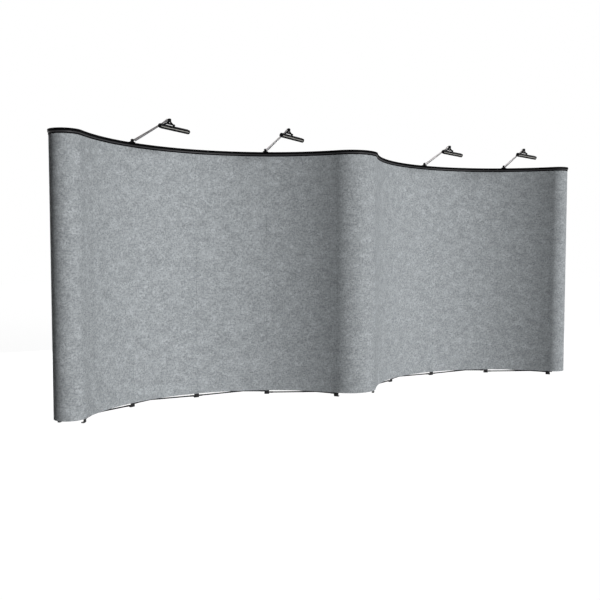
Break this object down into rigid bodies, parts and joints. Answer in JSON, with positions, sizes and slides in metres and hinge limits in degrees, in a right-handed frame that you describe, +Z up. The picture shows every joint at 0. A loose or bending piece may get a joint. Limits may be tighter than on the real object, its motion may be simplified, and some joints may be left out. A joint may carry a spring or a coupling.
{
  "type": "pop-up display backwall",
  "caption": "Serpentine pop-up display backwall: two curved scissor frames with fabric panels, rolled ends, a bulged centre, a black header rail and adjustable arm lights.",
  "frame": {"origin": "middle of the bounding box, at floor level", "axes": "+Z up, +X along the wall to the right of a visitor who faces it, +Y away from that visitor"},
  "size_m": [5.4356, 0.9338, 2.3858],
  "materials": {
    "fabric": "heathered grey loop-knit display fabric",
    "header_plastic": "black satin extruded header rail",
    "frame_plastic": "black moulded hubs with black rods",
    "rod_composite": "black fibre-reinforced rod",
    "bar_plastic": "black extruded channel bar with a magnetic face",
    "clamp_plastic": "black moulded clamp",
    "arm_aluminium": "satin silver tube",
    "yoke_metal": "black powder-coated bracket",
    "lamp_housing": "black satin housing with a pale diffuser window"
  },
  "bodies": {
    "root": {"left_frame_row_1": "rod_composite", "left_frame_row_2": "rod_composite", "left_frame_row_3": "rod_composite", "left_frame_row_4": "rod_composite", "left_frame_column_1": "frame_plastic", "left_channel_bar_1": "bar_plastic", "left_frame_column_2": "frame_plastic", "left_channel_bar_2": "bar_plastic", "left_frame_column_3": "frame_plastic", "left_channel_bar_3": "bar_plastic", "left_frame_column_4": "frame_plastic", "left_channel_bar_4": "bar_plastic", "left_frame_column_5": "frame_plastic", "left_channel_bar_5": "bar_plastic", "left_panel_1": "fabric", "left_panel_2": "fabric", "left_panel_3": "fabric", "left_panel_4": "fabric", "left_header": "header_plastic", "left_end_panel": "fabric", "left_end_header": "header_plastic", "right_frame_row_1": "rod_composite", "right_frame_row_2": "rod_composite", "right_frame_row_3": "rod_composite", "right_frame_row_4": "rod_composite", "right_frame_column_1": "frame_plastic", "right_channel_bar_1": "bar_plastic", "right_frame_column_2": "frame_plastic", "right_channel_bar_2": "bar_plastic", "right_frame_column_3": "frame_plastic", "right_channel_bar_3": "bar_plastic", "right_frame_column_4": "frame_plastic", "right_channel_bar_4": "bar_plastic", "right_frame_column_5": "frame_plastic", "right_channel_bar_5": "bar_plastic", "right_panel_1": "fabric", "right_panel_2": "fabric", "right_panel_3": "fabric", "right_panel_4": "fabric", "right_header": "header_plastic", "right_end_panel": "fabric", "right_end_header": "header_plastic", "centre_panel": "fabric", "centre_header": "header_plastic", "light_1_clamp": "clamp_plastic", "light_2_clamp": "clamp_plastic", "light_3_clamp": "clamp_plastic", "light_4_clamp": "clamp_plastic"},
    "light_1_swing": {"light_1_arm": "arm_aluminium"},
    "light_1_turn": {"light_1_yoke": "yoke_metal"},
    "light_1_tilt": {"light_1_lamp": "lamp_housing"},
    "light_2_swing": {"light_2_arm": "arm_aluminium"},
    "light_2_turn": {"light_2_yoke": "yoke_metal"},
    "light_2_tilt": {"light_2_lamp": "lamp_housing"},
    "light_3_swing": {"light_3_arm": "arm_aluminium"},
    "light_3_turn": {"light_3_yoke": "yoke_metal"},
    "light_3_tilt": {"light_3_lamp": "lamp_housing"},
    "light_4_swing": {"light_4_arm": "arm_aluminium"},
    "light_4_turn": {"light_4_yoke": "yoke_metal"},
    "light_4_tilt": {"light_4_lamp": "lamp_housing"}
  },
  "joints": [
    {"name": "light_1_arm_swing", "type": "hinge", "parent": "root", "child": "light_1_swing", "pos_m": [-1.96032, 0.09947, 2.25549], "axis": [0, 0, 1], "range_deg": [-30, 30]},
    {"name": "light_1_lamp_turn", "type": "hinge", "parent": "light_1_swing", "child": "light_1_turn", "pos_m": [-1.77585, -0.31098, 2.37549], "axis": [0, 0, 1], "range_deg": [-67.5, 52.5]},
    {"name": "light_1_lamp_tilt", "type": "hinge", "parent": "light_1_turn", "child": "light_1_tilt", "pos_m": [-1.77585, -0.31098, 2.34019], "axis": [0.8508, 0.5255, 0], "range_deg": [-35, 35]},
    {"name": "light_2_arm_swing", "type": "hinge", "parent": "root", "child": "light_2_swing", "pos_m": [-0.72147, 0.09299, 2.25549], "axis": [0, 0, 1], "range_deg": [-30, 30]},
    {"name": "light_2_lamp_turn", "type": "hinge", "parent": "light_2_swing", "child": "light_2_turn", "pos_m": [-0.71832, -0.357, 2.37549], "axis": [0, 0, 1], "range_deg": [-91, 29]},
    {"name": "light_2_lamp_tilt", "type": "hinge", "parent": "light_2_turn", "child": "light_2_tilt", "pos_m": [-0.71832, -0.357, 2.34019], "axis": [0.8536, 0.521, 0], "range_deg": [-35, 35]},
    {"name": "light_3_arm_swing", "type": "hinge", "parent": "root", "child": "light_3_swing", "pos_m": [1.21545, 0.23417, 2.25549], "axis": [0, 0, 1], "range_deg": [-30, 30]},
    {"name": "light_3_lamp_turn", "type": "hinge", "parent": "light_3_swing", "child": "light_3_turn", "pos_m": [1.17623, -0.21412, 2.37549], "axis": [0, 0, 1], "range_deg": [-85.3, 34.7]},
    {"name": "light_3_lamp_tilt", "type": "hinge", "parent": "light_3_turn", "child": "light_3_tilt", "pos_m": [1.17623, -0.21412, 2.34019], "axis": [0.9379, 0.3469, 0], "range_deg": [-35, 35]},
    {"name": "light_4_arm_swing", "type": "hinge", "parent": "root", "child": "light_4_swing", "pos_m": [2.11776, 0.01003, 2.25549], "axis": [0, 0, 1], "range_deg": [-30, 30]},
    {"name": "light_4_lamp_turn", "type": "hinge", "parent": "light_4_swing", "child": "light_4_turn", "pos_m": [1.98095, -0.41867, 2.37549], "axis": [0, 0, 1], "range_deg": [-93.7, 26.3]},
    {"name": "light_4_lamp_tilt", "type": "hinge", "parent": "light_4_turn", "child": "light_4_tilt", "pos_m": [1.98095, -0.41867, 2.34019], "axis": [0.9613, 0.2756, 0], "range_deg": [-35, 35]}
  ]
}
